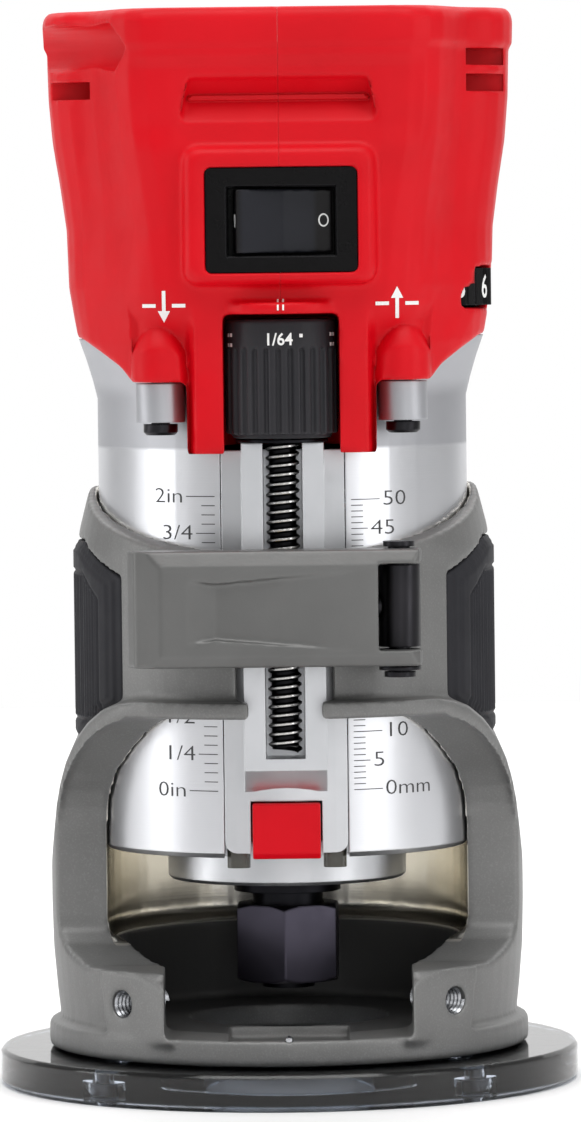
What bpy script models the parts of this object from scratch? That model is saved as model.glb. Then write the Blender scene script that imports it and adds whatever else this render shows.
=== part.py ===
"""Cordless compact router in a fixed base, as an assembly of separate pieces.

Lengths are millimetres, and MM turns them into metres where a mesh is made. X points right,
Y from the front to the back and Z up. The origin is on the spindle axis, at the underside of
the sub-base, and the motor is set so that the depth scale reads about 15 mm above its lowest.
"""

import math

import bmesh
import bpy
from mathutils import Matrix, Vector

MM = 0.001
GAP = 0.3

# Foot and sub-base
SUB_BASE_R, SUB_BASE_T, SUB_BASE_HOLE_R = 51.0, 6.35, 15.0
FOOT_R, FOOT_BOTTOM, FOOT_TOP, THROAT_R = 42.3, SUB_BASE_T + GAP, 11.2, 17.5
FOOT_SCREW_X, FOOT_SCREW_Y, FOOT_SCREW_R, FOOT_SCREW_TOP = 28.0, 23.4, 1.6, 14.4

# Base casting
BORE_R, COLLAR_R, COLLAR_TOP = 32.75, 36.5, 105.0
CAVITY_R, SHELF_LOW, SHELF_HIGH = 30.3, 25.4, 27.2
RIM_TILT, RIM_AT_AXIS = 0.305, 104.2
ARCH_TOP, LIP_UNDER = 69.0, 66.1
SPLIT_HALF, LIP_SPLIT_HALF = 8.3, 6.3
GUIDE_FACE, GUIDE_ANGLE, GUIDE_HOLE_R, GUIDE_Z, GUIDE_TOP = 42.0, 46.5, 2.45, 16.6, 22.3
GATE_HALF = 21.4
PAD_FLOOR_R, PAD_R = 34.6, 37.1

# Clamp
PIVOT_X, PIVOT_Y, BOLT_Z, BOLT_R = 19.7, -39.2, 85.3, 2.0
EAR_LEFT, EAR_RIGHT, EAR_FRONT, EAR_LOW, EAR_HIGH = -19.0, 15.5, -42.6, 78.0, 92.8
LEVER_LEFT, LEVER_RIGHT, LEVER_FRONT, LEVER_BACK = -26.7, 23.2, -46.2, -38.0
LEVER_LOW, LEVER_HIGH, LEVER_WALL, LUG_R = 75.3, 95.2, 2.4, 3.9
FORK_LOW, FORK_HIGH = 78.0, 92.8

# Motor barrel and its front track
BARREL_R, BARREL_INNER_R, BARREL_BOTTOM, BARREL_TOP = 32.45, 29.0, 41.6, 131.0
FLARE_START, FLARE_R = 120.5, 35.6
HUB_R, HUB_TOP, SPINDLE_HOLE_R = 14.0, 60.5, 8.0
BOSS_X, BOSS_Y, BOSS_R, BOSS_LOW, BOSS_HIGH = 20.8, -31.5, 4.2, 116.9, 123.6
COLUMN_Y, COLUMN_R = -33.0, 4.9
TRACK_HALF, TRACK_BACK, TRACK_TOP = 10.6, -26.3, 111.9
RAIL_OUT, RAIL_IN, RAIL_FRONT, RAIL_TOP = 7.1, 3.4, -35.0, 113.2
CHANNEL_BACK, CHANNEL_LOW = -27.9, 59.0

# Depth screw
SCREW_Y, SCREW_R, SCREW_LOW = -31.5, 2.6, 59.4
KNOB_R, KNOB_LOW, KNOB_BAND, KNOB_TOP, KNOB_RIBS = 9.6, 114.0, 129.5, 134.4, 28
KNOB_POCKET_R, POCKET_WALL_R, POCKET_TOP = 10.3, 12.0, 135.3

# Spindle lock
BUTTON_HALF, BUTTON_LOW, BUTTON_HIGH, BUTTON_FRONT, BUTTON_BACK = 5.85, 41.6, 51.2, -34.0, -29.4
PIN_Z, PIN_R, PIN_TIP = 47.6, 2.0, -8.4

# Head
HEAD_LOW, HEAD_TOP, HEAD_SPLIT, HEAD_WALL, DOCK_FLOOR = 131.3, 187.5, 0.04, 2.6, 175.0
SWITCH_X, SWITCH_Y = 0.3, -38.6
DIAL_X, DIAL_Y, DIAL_R, DIAL_LOW, DIAL_HIGH = 23.6, -16.2, 13.0, 136.3, 142.7
DIAL_TEETH = 36
SHELL_SCREWS = ((31.0, 140.0), (38.0, 166.5), (-12.0, 164.4))
CORNER = ((-21.0, 0.0), (-17.6, 0.5), (-14.6, 2.0), (-12.4, 4.4), (-10.8, 7.6), (-9.4, 10.8), (-8.0, 13.2),
          (-6.0, 14.8), (-3.6, 16.2), (-1.8, 18.4), (-0.5, 21.4), (0.0, 25.0))

RED = (0.71, 0.012, 0.022)
BLACK = (0.018, 0.018, 0.020)
STEEL = (0.55, 0.55, 0.56)
ALUMINIUM = (0.78, 0.79, 0.80)
CAST_GREY = (0.16, 0.16, 0.155)


def arc(centre, radii, start, end, steps):
    """Points along an ellipse's arc, from start to end in degrees."""
    turns = [math.radians(start + (end - start) * i / steps) for i in range(steps + 1)]
    return [(centre[0] + radii[0] * math.cos(t), centre[1] + radii[1] * math.sin(t)) for t in turns]


def mirrored(right):
    """A whole outline from its right half, which runs from the axis and back to it."""
    return right + [(-x, z) for x, z in reversed(right) if x > 0]


def rounded(half_width, front, back, radius, groove):
    """A rectangle in plan with round corners; groove, from 0 to 1, hollows it behind each front corner."""
    inner_x, low, high = half_width - radius, front + radius, back - radius
    rear = arc((inner_x, high), (radius, radius), 0, 90, 6)
    plain = arc((inner_x, low), (radius, radius), 270, 360, len(CORNER) - 1)
    fronts = [(px + (half_width + cx - px) * groove, py + (front + cy - py) * groove)
              for (px, py), (cx, cy) in zip(plain, CORNER)]
    left = [(-x, y) for x, y in reversed(fronts)] + fronts
    return rear + [(-x, y) for x, y in reversed(rear)] + left


def to_object(bm, name="tool"):
    bmesh.ops.recalc_face_normals(bm, faces=bm.faces)
    mesh = bpy.data.meshes.new(name)
    bm.to_mesh(mesh)
    bm.free()
    obj = bpy.data.objects.new(name, mesh)
    bpy.context.scene.collection.objects.link(obj)
    return obj


def turned(profile, segments=28, centre=(0.0, 0.0)):
    """A closed (radius, height) outline spun about the vertical line through centre."""
    bm = bmesh.new()
    points = [bm.verts.new((r * MM, 0.0, z * MM)) for r, z in profile]
    for i, (r, _) in enumerate(profile):
        if r > 0 or profile[i - 1][0] > 0:
            bm.edges.new((points[i - 1], points[i]))
    bmesh.ops.spin(bm, geom=bm.verts[:] + bm.edges[:], axis=(0, 0, 1), cent=(0, 0, 0),
                   steps=segments, angle=math.tau, use_merge=True)
    bmesh.ops.remove_doubles(bm, verts=bm.verts, dist=1e-6)
    bmesh.ops.translate(bm, verts=bm.verts, vec=Vector((*centre, 0.0)) * MM)
    return to_object(bm)


def prism(outline, low, high, axis="Z"):
    """A closed outline, in the other two axes in alphabetical order, extruded along an axis."""
    at = {"X": lambda a, b, c: (c, a, b),
          "Y": lambda a, b, c: (a, c, b),
          "Z": lambda a, b, c: (a, b, c)}[axis]
    bm = bmesh.new()
    face = bm.faces.new([bm.verts.new(Vector(at(a, b, low)) * MM) for a, b in outline])
    grown = bmesh.ops.extrude_face_region(bm, geom=[face])["geom"]
    moved = [part for part in grown if isinstance(part, bmesh.types.BMVert)]
    bmesh.ops.translate(bm, verts=moved, vec=Vector(at(0.0, 0.0, high - low)) * MM)
    return to_object(bm)


def box(x, y, z):
    """A block between two X, two Y and two Z."""
    return prism(((x[0], y[0]), (x[1], y[0]), (x[1], y[1]), (x[0], y[1])), z[0], z[1])


def rod(radius, start, end, segments=16):
    """A cylinder from one point to another."""
    return cone(radius, radius, start, end, segments)


def cone(radius, end_radius, start, end, segments=24):
    """A frustum from one point to another."""
    start, end = Vector(start) * MM, Vector(end) * MM
    turn = (end - start).to_track_quat("Z", "Y").to_matrix().to_4x4()
    bm = bmesh.new()
    bmesh.ops.create_cone(bm, cap_ends=True, segments=segments, radius1=radius * MM,
                          radius2=end_radius * MM, depth=(end - start).length,
                          matrix=Matrix.Translation((start + end) / 2) @ turn)
    return to_object(bm)


def loft(sections):
    """A solid through plan outlines of equal length, each given as (height, points)."""
    bm = bmesh.new()
    rings = [[bm.verts.new(Vector((x, y, z)) * MM) for x, y in plan] for z, plan in sections]
    for lower, upper in zip(rings, rings[1:]):
        for i in range(len(lower)):
            bm.faces.new((lower[i - 1], lower[i], upper[i], upper[i - 1]))
    bm.faces.new(rings[0])
    bm.faces.new(rings[-1])
    return to_object(bm)


def hull(points):
    """The convex solid round some points."""
    bm = bmesh.new()
    for point in points:
        bm.verts.new(Vector(point) * MM)
    bmesh.ops.convex_hull(bm, input=bm.verts[:])
    return to_object(bm)


def boolean(base, operation, *tools):
    """Joins, cuts or intersects base with each tool in turn, and removes the tools."""
    for tool in tools:
        step = base.modifiers.new(operation, "BOOLEAN")
        step.operation = operation
        step.object = tool
    graph = bpy.context.evaluated_depsgraph_get()
    mesh = bpy.data.meshes.new_from_object(base.evaluated_get(graph))
    base.modifiers.clear()
    base.data = mesh
    for tool in tools:
        bpy.data.objects.remove(tool, do_unlink=True)
    return base


def join(base, *tools):
    return boolean(base, "UNION", *tools)


def cut(base, *tools):
    return boolean(base, "DIFFERENCE", *tools)


def common(base, *tools):
    return boolean(base, "INTERSECT", *tools)


def material(name, colour, roughness, metallic=0.0, transmission=0.0):
    made = bpy.data.materials.new(name)
    made.use_nodes = True
    made.diffuse_color = (*colour, 1.0)
    shader = made.node_tree.nodes["Principled BSDF"]
    shader.inputs["Base Color"].default_value = (*colour, 1.0)
    shader.inputs["Roughness"].default_value = roughness
    shader.inputs["Metallic"].default_value = metallic
    shader.inputs["Transmission Weight"].default_value = transmission
    return made


def finish(obj, name, colour, roughness, metallic=0.0, transmission=0.0):
    """Names a piece, gives it its own material and shades its round faces smooth."""
    obj.name = name
    obj.data.name = name
    obj.data.materials.clear()
    obj.data.materials.append(material(name, colour, roughness, metallic, transmission))
    obj.data.shade_smooth()
    obj.data.set_sharp_from_angle(angle=math.radians(32))
    return obj


def pivot(name, place, *pieces, parent=None):
    """An empty on a joint's axis, which carries the pieces of one moving body."""
    empty = bpy.data.objects.new(name, None)
    empty.empty_display_size = 5 * MM
    bpy.context.scene.collection.objects.link(empty)
    empty.location = Vector(place) * MM
    if parent:
        empty.parent = parent
        empty.location -= parent.matrix_world.translation
    bpy.context.view_layer.update()
    for piece in pieces:
        piece.parent = empty
        piece.matrix_parent_inverse = empty.matrix_world.inverted()
    return empty


def pad(inner, outer, grow, side):
    """A curved pad on one side of the collar, whose side view is larger all round by grow."""
    edge = [(22.8, 68), (22.8, 90), (9, 96), (-9, 96), (-22.8, 90), (-22.8, 68), (-7, 60), (7, 60)]
    middle, share = 78.0, 1 + grow / 18.0
    outline = [(y * share, middle + (z - middle) * share) for y, z in edge]
    low, high = (0.0, 60.0) if side > 0 else (-60.0, 0.0)
    shell = turned(((inner, 50), (outer, 50), (outer, 104), (inner, 104)), 72)
    return common(shell, prism(outline, low, high, "X"))


def base_casting():
    """Foot, arch and split collar in one piece."""
    shoulder = [(0, 0), (45, 0), (45, 34), (41.8, 36), (41.4, 40), (40.9, 44.5), (40.3, 49.5), (39.5, 53.6),
                (38.4, 57.4), (36.7, 61.2), (34.4, 64.5), (31.7, 67.0), (28.7, 68.4), (25.5, ARCH_TOP),
                (0, ARCH_TOP)]
    bell = turned(((0, FOOT_BOTTOM), (FOOT_R - 0.4, FOOT_BOTTOM), (FOOT_R, FOOT_BOTTOM + 0.4),
                   (FOOT_R, FOOT_TOP - 0.4), (FOOT_R - 0.4, FOOT_TOP), (40.2, FOOT_TOP + 0.3), (40.8, 16.8),
                   (41.4, 24), (41.6, 32), (41.6, 72), (0, 72)), 72)
    common(bell, prism(mirrored(shoulder), -60, 60, "Y"))
    collar = turned(((0, 50), (COLLAR_R, 50), (COLLAR_R, 94.5), (35.7, 98.3), (34.5, 103), (34, COLLAR_TOP),
                     (0, COLLAR_TOP)), 72)
    ears = box((EAR_LEFT, EAR_RIGHT), (EAR_FRONT, -20), (EAR_LOW, EAR_HIGH))
    casting = join(bell, collar, ears, guide_boss(1), guide_boss(-1))
    inside = turned(((0, 0), (THROAT_R, 0), (THROAT_R, FOOT_TOP), (CAVITY_R, FOOT_TOP), (CAVITY_R, SHELF_LOW),
                     (BORE_R, SHELF_HIGH), (BORE_R, 110), (0, 110)), 72)
    cut(casting, inside, arch_opening(), *front_openings(), *casting_holes())
    return finish(casting, "base_casting", CAST_GREY, 0.5, 0.7)


def guide_turn(side):
    """The turn that brings the X axis onto the normal of one guide face."""
    return Matrix.Rotation(math.radians(-90 + (90 - GUIDE_ANGLE) * side), 4, "Z")


def guide_boss(side):
    """A block whose flat face takes an edge guide, chamfered on top towards the middle."""
    low = FOOT_TOP - 1
    inner, bend = -11.5 * side, -3.0 * side
    ends = [(inner, GUIDE_FACE, 19.3), (inner, 36.5, GUIDE_TOP), (inner, GUIDE_FACE, low), (inner, 30, low),
            (inner, 30, GUIDE_TOP), (bend, GUIDE_FACE, GUIDE_TOP), (5.5 * side, GUIDE_FACE, GUIDE_TOP),
            (5.5 * side, 30, GUIDE_TOP), (3.7 * side, GUIDE_FACE, low), (3.7 * side, 30, low)]
    block = hull([(x, y, z) for y, x, z in ends])
    block.data.transform(guide_turn(side))
    return block


def arch_opening():
    """What is cut from the front under the arch: a cove above, legs set back and bosses in front."""
    side_view = [(-60, GUIDE_TOP), (-60, LIP_UNDER), (-27.8, LIP_UNDER), (-26, 65.5), (-23.4, 63.5),
                 (-18.8, 59.3), (-14.6, 55.4), (-12, 52.2), (-10.4, 49), (-9.6, 45), (-9.5, 30),
                 (-10.4, 27.6), (-13, 25.4), (-21, GUIDE_TOP)]
    front_view = [(0, 10), (45, 10), (45, 32), (41.3, 34), (41.0, 40), (40.5, 45), (39.8, 50), (38.7, 54),
                  (36.9, 58), (34.4, 61.6), (31.4, 64.2), (28.0, 65.7), (25.8, LIP_UNDER + 2),
                  (0, LIP_UNDER + 2)]
    return common(prism(side_view, -60, 60, "X"), prism(mirrored(front_view), -70, 10, "Y"))


def front_openings():
    """The way in between the bosses, the step in the foot, the split and the tilted rim."""
    rim_at = RIM_AT_AXIS - 60 * RIM_TILT
    return (
        box((-GATE_HALF, GATE_HALF), (-60, -18), (FOOT_TOP, GUIDE_TOP + 2)),
        box((-10.4, 10.4), (-40, -18), (FOOT_TOP - 2.4, FOOT_TOP + 1)),
        box((-LIP_SPLIT_HALF, LIP_SPLIT_HALF), (-60, -20), (60, ARCH_TOP + 1)),
        box((-SPLIT_HALF, SPLIT_HALF), (-35.6, -20), (60, ARCH_TOP + 1)),
        box((-SPLIT_HALF, SPLIT_HALF), (-60, -19), (ARCH_TOP, 112)),
        prism(((-60, rim_at), (3, COLLAR_TOP + 0.1), (3, 120), (-60, 120)), -60, 60, "X"),
    )


def casting_holes():
    guides = [rod(GUIDE_HOLE_R, (26, 0, GUIDE_Z), (46, 0, GUIDE_Z)) for _ in (-1, 1)]
    for side, hole in zip((-1, 1), guides):
        hole.data.transform(guide_turn(side))
    feet = [rod(FOOT_SCREW_R + GAP, (x, y, 0), (x, y, FOOT_SCREW_TOP + 0.4)) for x, y in foot_screw_places()]
    bolt = rod(BOLT_R + 0.4, (EAR_LEFT - 20, PIVOT_Y, BOLT_Z), (EAR_RIGHT + 20, PIVOT_Y, BOLT_Z))
    bead = rod(0.85, (0, -41.1, 9.0), (0, -41.1, 12.5), 16)
    pads = [pad(PAD_FLOOR_R, 45, 0.0, side) for side in (-1, 1)]
    return (*guides, *feet, bolt, bead, *pads)


def foot_screw_places():
    return [(x, y) for y in (-FOOT_SCREW_Y, FOOT_SCREW_Y) for x in (-FOOT_SCREW_X, FOOT_SCREW_X)]


def sub_base():
    plate = turned(((SUB_BASE_HOLE_R, 0), (SUB_BASE_R - 0.8, 0), (SUB_BASE_R, 0.8),
                    (SUB_BASE_R, SUB_BASE_T - 0.6), (SUB_BASE_R - 0.6, SUB_BASE_T),
                    (SUB_BASE_HOLE_R, SUB_BASE_T)), 72)
    holes = [turned(((0, -1), (3.7, -1), (3.7, 3), (FOOT_SCREW_R + GAP, 3), (FOOT_SCREW_R + GAP, 8), (0, 8)),
                    16, place) for place in foot_screw_places()]
    return finish(cut(plate, *holes), "sub_base", (0.30, 0.32, 0.36), 0.05, 0.0, 0.9)


def foot_screws():
    screws = []
    for number, place in enumerate(foot_screw_places(), 1):
        screw = turned(((0, 0.6), (3.4, 0.6), (3.4, 2.7), (FOOT_SCREW_R, 2.7), (FOOT_SCREW_R, FOOT_SCREW_TOP),
                        (0, FOOT_SCREW_TOP)), 16, place)
        cut(screw, rod(1.1, (*place, 0), (*place, 2.2), 6))
        screws.append(finish(screw, f"sub_base_screw_{number}", BLACK, 0.35, 1.0))
    return screws


def grips():
    """Each grip is two steps, so that its edge is bevelled."""
    grips_made = []
    for side, name in ((-1, "grip_left"), (1, "grip_right")):
        grip = join(pad(PAD_FLOOR_R + GAP, PAD_R - 0.9, -GAP, side), pad(PAD_R - 2, PAD_R - 0.4, -1.2, side),
                    pad(PAD_R - 1.6, PAD_R, -2.1, side))
        grips_made.append(finish(grip, name, BLACK, 0.85))
    return grips_made


def clamp_hardware():
    """Index bead, tie bolt with its eye and nut, pivot pin and washer."""
    bead = turned(((0, 9.3), (0.7, 9.3), (0.7, 11.6), (0, 12.1)), 16, (0, -41.1))
    bolt = rod(BOLT_R, (EAR_LEFT - 3.8, PIVOT_Y, BOLT_Z), (PIVOT_X - 1, PIVOT_Y, BOLT_Z))
    eye = turned(((0, 78.4), (3.6, 78.4), (3.6, 92.4), (0, 92.4)), 32, (PIVOT_X, PIVOT_Y))
    cut(join(bolt, eye), rod(2.1, (PIVOT_X, PIVOT_Y, 70), (PIVOT_X, PIVOT_Y, 100)))
    nut = prism(arc((PIVOT_Y, BOLT_Z), (4.04, 4.04), 30, 330, 5), EAR_LEFT - 3.6, EAR_LEFT - GAP, "X")
    cut(nut, rod(BOLT_R + 0.2, (EAR_LEFT - 9, PIVOT_Y, BOLT_Z), (EAR_LEFT + 9, PIVOT_Y, BOLT_Z)))
    pin = turned(((0, 73.2), (2.7, 73.2), (2.7, 74.1), (1.9, 74.1), (1.9, 95.5), (2.7, 95.5), (2.7, 96.4),
                  (0, 96.4)), 24, (PIVOT_X, PIVOT_Y))
    washer = turned(((2.1, 74.4), (3.6, 74.4), (3.6, 75.0), (2.1, 75.0)), 24, (PIVOT_X, PIVOT_Y))
    finish(bead, "index_pin", STEEL, 0.3, 1.0)
    finish(bolt, "tie_bolt", (0.10, 0.10, 0.11), 0.4, 1.0)
    finish(nut, "tie_bolt_nut", (0.10, 0.10, 0.11), 0.4, 1.0)
    finish(pin, "lever_pivot_pin", BLACK, 0.4, 1.0)
    finish(washer, "pivot_washer", BLACK, 0.5)


def clamp_lever():
    """A channel across the front, with a fork round the pivot pin at its right end."""
    plan = [(LEVER_LEFT, -40.5), (LEVER_LEFT + 1.2, -43.6), (LEVER_LEFT + 5.7, LEVER_FRONT),
            (LEVER_RIGHT - 1.5, LEVER_FRONT), (LEVER_RIGHT, LEVER_FRONT + 1.5), (LEVER_RIGHT, LEVER_BACK),
            (LEVER_LEFT, LEVER_BACK)]
    lever = prism(plan, LEVER_LOW, LEVER_HIGH)
    hollow_plan = [(LEVER_LEFT + 2.2, LEVER_BACK + 9), (LEVER_LEFT + 2.2, -40.5), (LEVER_LEFT + 3.2, -42.2),
                   (LEVER_LEFT + 6.3, LEVER_FRONT + LEVER_WALL), (16.5, LEVER_FRONT + LEVER_WALL),
                   (16.5, LEVER_BACK + 9)]
    hollow = prism(hollow_plan, LEVER_LOW + 1.8, LEVER_HIGH - 1.8)
    window = box((16, 30), (-50, LEVER_BACK + 9), (FORK_LOW, FORK_HIGH))
    lugs = [turned(((0, low), (LUG_R, low), (LUG_R, high), (0, high)), 32, (PIVOT_X, PIVOT_Y))
            for low, high in ((LEVER_LOW, FORK_LOW), (FORK_HIGH, LEVER_HIGH))]
    top_bevel = prism(((-50, 92.4), (LEVER_FRONT, 92.4), (LEVER_FRONT + 1.5, LEVER_HIGH),
                       (LEVER_FRONT + 1.5, 97), (-50, 97)), -40, 30, "X")
    low_bevel = prism(((-50, 77.2), (LEVER_FRONT, 77.2), (LEVER_FRONT + 1.0, LEVER_LOW),
                       (LEVER_FRONT + 1.0, 74), (-50, 74)), -40, 30, "X")
    cut(lever, hollow, top_bevel, low_bevel, finger_hollow())
    join(lever, *lugs)
    cut(lever, window, rod(2.2, (PIVOT_X, PIVOT_Y, 60), (PIVOT_X, PIVOT_Y, 110)))
    finish(lever, "clamp_lever", CAST_GREY, 0.45, 0.7)
    pivot("clamp_lever_axis", (PIVOT_X, PIVOT_Y, BOLT_Z), lever)


def finger_hollow():
    """A wedge cut in the lever's face, deepest near its left end and widening as it runs out."""
    depth = prism(((-16.4, -50), (-16.4, LEVER_FRONT), (-11.8, LEVER_FRONT + 1.3), (14, LEVER_FRONT),
                   (14, -50)), 70, 100)
    outline = prism(((-16.4, 90.4), (-11.8, 89.6), (14.5, 92.0), (14.5, 77.8), (-11.8, 80.1), (-16.4, 79.4)),
                    -60, -40, "Y")
    return common(depth, outline)


def half_nut():
    """A block on the tie bolt whose finger reaches the lead screw through the track's channel."""
    nut = box((-SPLIT_HALF + 0.4, SPLIT_HALF - 0.4), (-40.6, -36.2), (87.9, 92.6))
    finger = box((-3.0, 3.0), (-37, SCREW_Y - 0.6), (87.9, 92.6))
    join(nut, finger)
    cut(nut, rod(SCREW_R + 0.5, (0, SCREW_Y, 80), (0, SCREW_Y, 100)))
    finish(nut, "half_nut", (0.55, 0.40, 0.16), 0.35, 1.0)
    pivot("half_nut_axis", (0, -38.4, 90.2), nut)


def motor_barrel():
    barrel = turned(((SPINDLE_HOLE_R, BARREL_BOTTOM), (BARREL_R - 0.9, BARREL_BOTTOM),
                     (BARREL_R, BARREL_BOTTOM + 0.9), (BARREL_R, FLARE_START), (33.2, 123.6), (34.3, 127.3),
                     (FLARE_R, BARREL_TOP), (FLARE_R - 2.8, BARREL_TOP), (29.6, 120), (BARREL_INNER_R, 112),
                     (BARREL_INNER_R, 44.0), (HUB_R, 44.0), (HUB_R, HUB_TOP), (11.1, HUB_TOP), (11.1, 52),
                     (SPINDLE_HOLE_R, 52)), 72)
    bosses = [rod(BOSS_R, (x, BOSS_Y, BOSS_LOW), (x, BOSS_Y, BOSS_HIGH), 24) for x in (-BOSS_X, BOSS_X)]
    webs = [box((x - 2.6, x + 2.6), (BOSS_Y, -22), (BOSS_LOW + 0.2, BOSS_HIGH - 0.2))
            for x in (-BOSS_X, BOSS_X)]
    join(barrel, *bosses, *webs)
    slot = box((-TRACK_HALF - 0.15, TRACK_HALF + 0.15), (-50, TRACK_BACK + 0.4), (40, 135))
    screws = [rod(1.9, (x, BOSS_Y, 110), (x, BOSS_Y, 135)) for x in (-BOSS_X, BOSS_X)]
    knob_room = rod(POCKET_WALL_R + 0.4, (0, SCREW_Y, 112.2), (0, SCREW_Y, 135), 32)
    lock_hole = rod(PIN_R + 0.4, (0, -20, PIN_Z), (0, 0, PIN_Z))
    cut(barrel, slot, knob_room, *screws, lock_hole)
    return finish(barrel, "motor_barrel", ALUMINIUM, 0.3, 1.0)


def front_track():
    """Key let into the barrel: rails each side of the screw's channel, and a pad for the lock button."""
    front = arc((0, 0), (BARREL_R, BARREL_R), -109.06, -70.94, 10)
    strip = prism([(TRACK_HALF, TRACK_BACK), (-TRACK_HALF, TRACK_BACK)] + front, 42.5, TRACK_TOP)
    rails = prism(((-32, 53.2), (RAIL_FRONT, 57), (RAIL_FRONT, RAIL_TOP), (-29, RAIL_TOP), (-29, 53.2)),
                  -RAIL_OUT, RAIL_OUT, "X")
    join(strip, rails)
    channel = box((-RAIL_IN, RAIL_IN), (-50, CHANNEL_BACK), (CHANNEL_LOW, 120))
    notch = box((-BUTTON_HALF - GAP, BUTTON_HALF + GAP), (-50, -20), (30, BUTTON_HIGH + GAP))
    relief = box((-20, 20), (-30.1, -20), (30, 57))
    corners = [prism([(side * x, z) for x, z in [(TRACK_HALF + 1, 41), (TRACK_HALF - 2, 41)]
                      + arc((TRACK_HALF - 2, 44.5), (2, 2), 270, 360, 5) + [(TRACK_HALF + 1, 44.5)]],
                     -50, -20, "Y") for side in (-1, 1)]
    cut(strip, channel, notch, relief, *corners)
    return finish(strip, "front_track", ALUMINIUM, 0.35, 1.0)


def end_cap():
    cap = turned(((9.8, 36.8), (18, 36.8), (18.6, 35.8), (20.4, 35.8), (21, 36.4), (21, BARREL_BOTTOM - GAP),
                  (9.8, BARREL_BOTTOM - GAP)), 64)
    return finish(cap, "end_cap", ALUMINIUM, 0.35, 1.0)


def head_plan(z, inset=0.0):
    """The head's outline in plan at a height; moved inwards by an inset it has no corner grooves."""
    levels = ((111.5, 33.0, -38.0, 33.0, 24, 0), (125.4, 33.8, -38.3, 34.0, 24, 0.0),
              (130.4, 35.1, -38.8, 36.0, 24, 0.1), (135.0, 35.9, -39.2, 37.0, 23, 0.35),
              (140.0, 36.7, -39.6, 38.5, 22, 0.5), (150.0, 37.0, -40.2, 41.0, 21, 0.7),
              (157.5, 38.0, -40.8, 43.5, 20, 0.85), (164.9, 39.2, -41.4, 45.5, 20, 1),
              (172.3, 39.8, -42.0, 47.0, 20, 1), (180.6, 40.0, -42.5, 48.0, 20, 1),
              (181.4, 40.6, -42.8, 48.6, 20, 1), (185.4, 40.7, -43.0, 48.8, 20, 1),
              (186.7, 40.4, -42.5, 48.2, 20, 1), (HEAD_TOP, 39.7, -41.7, 47.2, 19, 1))
    for below, above in zip(levels, levels[1:]):
        if z <= above[0]:
            break
    share = (z - below[0]) / (above[0] - below[0])
    width, front, back, radius, groove = (b + (a - b) * share for b, a in zip(below[1:], above[1:]))
    if inset:
        return rounded(width - inset, front + inset, back - inset, min(radius + 12, width - inset - 1), 0)
    return rounded(width, front, back, radius, groove)


def head_solid():
    """Everything red, before it is split: the shell over the barrel and the front apron."""
    heights = (111.5, 125.4, 130.4, 135, 140, 150, 157.5, 164.9, 172.3, 180.6, 181.4, 185.4, 186.7, HEAD_TOP)
    head = loft([(z, head_plan(z)) for z in heights])
    below_apron = [(60, 100), (16.2, 100), (16.2, 123.9), (25.6, 123.9), (27.5, 126.4), (31, 129),
                   (34.4, HEAD_LOW), (60, HEAD_LOW)]
    sides = [prism([(side * x, z) for x, z in below_apron], -60, -8, "Y") for side in (-1, 1)]
    cut(head, *sides, box((-60, 60), (-12, 60), (90, HEAD_LOW)))
    columns = [turned(((0, 123.8), (COLUMN_R, 123.8), (COLUMN_R, 131), (4.2, 133.8), (2.4, 135.9),
                       (0, 136.6)), 24, (x, COLUMN_Y)) for x in (-BOSS_X, BOSS_X)]
    join(head, *columns, switch_rim())
    inner_heights = (128, 135, 140, 150, 157.5, 160)
    inner = loft([(z, head_plan(z, HEAD_WALL)) for z in inner_heights] + [(172.4, head_plan(172.4, 5.0))])
    barrel = turned(((0, 100), (BARREL_R + GAP, 100), (BARREL_R + GAP, FLARE_START), (33.5, 123.6),
                     (34.6, 127.3), (FLARE_R + GAP, BARREL_TOP + 0.2), (0, BARREL_TOP + 0.2)), 72)
    cut(head, inner, barrel)
    return head


def switch_rim():
    """The moulded rim round the switch, which narrows towards its front."""
    levels = ((36.0, 16.8, 12.2), (41.6, 16.4, 11.8), (42.7, 15.8, 11.2), (43.2, 14.9, 10.4))
    rim = loft([(depth, rounded(half, -rise, rise, 2.6, 0)) for depth, half, rise in levels])
    rim.data.transform(Matrix.Rotation(math.radians(90), 4, "X"))
    rim.data.transform(Matrix.Translation(Vector((0, 0, 152.2)) * MM))
    return rim


def shells():
    """The left and right shells, cut from one head."""
    head = head_solid()
    pocket = rod(POCKET_WALL_R, (0, SCREW_Y, 112.6), (0, SCREW_Y, POCKET_TOP + 2), 32)
    levels = (HEAD_LOW, 135, 140, 150, 157.5, 164.9, 172.3, 179.7)
    posts = [common(rod(5.2, (-45, y, z), (45, y, z)),
                    loft([(level, head_plan(level, 0.9)) for level in levels])) for y, z in SHELL_SCREWS]
    join(head, pocket, *posts)
    knob_room = rod(KNOB_POCKET_R, (0, SCREW_Y, 105), (0, SCREW_Y, POCKET_TOP), 32)
    knob_front = box((-KNOB_POCKET_R + 0.4, KNOB_POCKET_R - 0.4), (-60, SCREW_Y), (105, POCKET_TOP))
    cut(head, knob_room, knob_front, *head_openings(), *shell_screw_holes())
    for side, name in ((-1, "housing_left"), (1, "housing_right")):
        half = head.copy()
        half.data = head.data.copy()
        bpy.context.scene.collection.objects.link(half)
        span = (HEAD_SPLIT, 60) if side > 0 else (-60, -HEAD_SPLIT)
        finish(common(half, box(span, (-70, 70), (90, 200))), name, RED, 0.42)
    bpy.data.objects.remove(head, do_unlink=True)
    return [bpy.data.objects[name] for name in ("housing_left", "housing_right")]


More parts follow.
